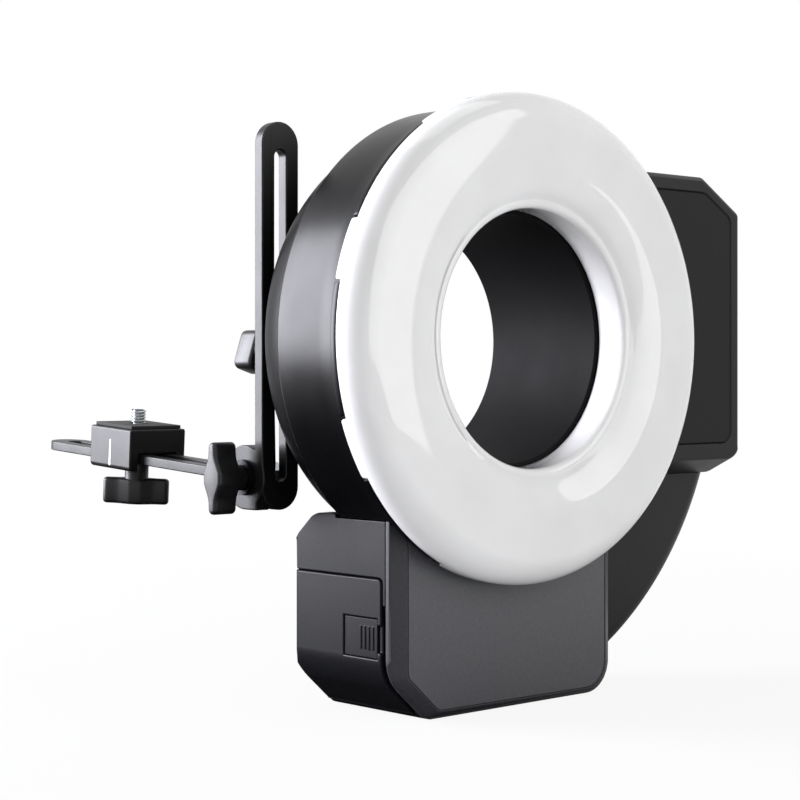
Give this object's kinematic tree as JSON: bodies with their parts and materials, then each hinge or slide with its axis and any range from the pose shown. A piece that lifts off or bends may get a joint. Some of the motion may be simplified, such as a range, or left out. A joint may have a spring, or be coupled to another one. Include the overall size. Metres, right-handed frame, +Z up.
{
  "type": "macro ring flash",
  "caption": "Battery ring flash with an opal ring diffuser, a control box, a battery base and a slotted bracket with wing knobs and a tripod screw.",
  "frame": {"origin": "on the axis of the ring, in the front plane of the base panel, where the tube that lines the hole begins", "axes": "+Y along the ring axis to the back, +Z up, +X to the right seen from the front"},
  "size_m": [0.2383, 0.2373, 0.2386],
  "materials": {
    "opal": "gloss opal",
    "housing": "fine texture",
    "panel": "smooth satin",
    "keys": "satin",
    "test_key": "satin",
    "bracket": "black anodised",
    "knob": "moulded with a steel screw",
    "steel": "bright",
    "brass": "turned",
    "mirror": "polished",
    "glass": "clear",
    "display": "clear",
    "board": "printed board",
    "coil": "wound",
    "cell": "satin",
    "can": "sleeved can",
    "clip": "white",
    "phosphor": "potted",
    "rubber": "matt"
  },
  "bodies": {
    "head": {"ring_housing": "housing", "rear_hub": "housing", "hub_screws": "steel", "inner_tube": "housing", "clamp_insert": "brass", "reflector": "mirror", "flash_tube": "glass", "tube_electrodes": "steel", "tube_clips": "clip", "modelling_lamps": "phosphor", "trigger_coil": "coil", "base_shell": "housing", "base_cover": "housing", "base_panel": "panel", "battery_pack": "cell", "battery_contacts": "brass", "capacitors": "can", "control_front": "housing", "control_plate": "panel", "control_rear": "housing", "lcd_window": "display", "lcd_module": "board", "main_board": "board", "encoder": "steel", "ready_lamp": "clip", "sync_jack": "steel", "case_screws": "steel", "arm_shell": "housing"},
    "diffuser": {"diffuser": "opal"},
    "battery_door": {"battery_door": "housing"},
    "door_latch": {"door_latch": "housing"},
    "control_dial": {"control_dial": "keys"},
    "set_button": {"set_button": "keys"},
    "mode_button": {"mode_button": "keys"},
    "lamp_button": {"lamp_button": "keys"},
    "sound_button": {"sound_button": "keys"},
    "test_button": {"test_button": "test_key"},
    "power_switch": {"power_switch": "keys"},
    "mount_bar": {"mount_bar": "bracket"},
    "clamp_knob": {"clamp_knob": "knob", "clamp_washer": "steel"},
    "rail": {"rail": "bracket", "pivot_nut": "steel"},
    "pivot_knob": {"pivot_knob": "knob", "pivot_washer": "steel"},
    "slider": {"slider_block": "bracket", "block_pad": "rubber"},
    "tripod_knob": {"tripod_knob": "knob"}
  },
  "joints": [
    {"name": "diffuser_pull", "type": "slide", "parent": "head", "child": "diffuser", "axis": [0, -1, 0], "range_m": [0, 0.03]},
    {"name": "door_slide", "type": "slide", "parent": "head", "child": "battery_door", "axis": [0, 1, 0], "range_m": [0, 0.042]},
    {"name": "latch_press", "type": "slide", "parent": "battery_door", "child": "door_latch", "axis": [1, 0, 0], "range_m": [0, 0.0012], "stiffness_N_per_m": 500},
    {"name": "dial_turn", "type": "hinge", "parent": "head", "child": "control_dial", "pos_m": [0.119, 0.052, -0.0025], "axis": [0, 1, 0], "continuous": true},
    {"name": "set_press", "type": "slide", "parent": "head", "child": "set_button", "axis": [0, -1, 0], "range_m": [0, 0.0008], "stiffness_N_per_m": 400},
    {"name": "mode_press", "type": "slide", "parent": "head", "child": "mode_button", "axis": [0, -1, 0], "range_m": [0, 0.001], "stiffness_N_per_m": 400},
    {"name": "lamp_press", "type": "slide", "parent": "head", "child": "lamp_button", "axis": [0, -1, 0], "range_m": [0, 0.001], "stiffness_N_per_m": 400},
    {"name": "sound_press", "type": "slide", "parent": "head", "child": "sound_button", "axis": [0, -1, 0], "range_m": [0, 0.001], "stiffness_N_per_m": 400},
    {"name": "test_press", "type": "slide", "parent": "head", "child": "test_button", "axis": [0, -1, 0], "range_m": [0, 0.001], "stiffness_N_per_m": 400},
    {"name": "power_slide", "type": "slide", "parent": "head", "child": "power_switch", "axis": [0, 0, 1], "range_m": [0, 0.004]},
    {"name": "bar_height", "type": "slide", "parent": "head", "child": "mount_bar", "axis": [0, 0, 1], "range_m": [-0.068, 0.02]},
    {"name": "clamp_turn", "type": "hinge", "parent": "head", "child": "clamp_knob", "pos_m": [-0.067, 0.0648, -0.005], "axis": [0, 1, 0], "continuous": true},
    {"name": "rail_tilt", "type": "hinge", "parent": "mount_bar", "child": "rail", "pos_m": [-0.067, 0.0715, -0.054], "axis": [1, 0, 0], "range_deg": [-45, 30]},
    {"name": "pivot_knob_turn", "type": "hinge", "parent": "rail", "child": "pivot_knob", "pos_m": [-0.067, 0.0715, -0.054], "axis": [1, 0, 0], "continuous": true},
    {"name": "slider_travel", "type": "slide", "parent": "rail", "child": "slider", "axis": [0, 0.9981, 0.061], "range_m": [-0.046, 0.047]},
    {"name": "tripod_knob_turn", "type": "hinge", "parent": "slider", "child": "tripod_knob", "pos_m": [-0.067, 0.15784, -0.04872], "axis": [0, -0.061, 0.9981], "continuous": true}
  ]
}
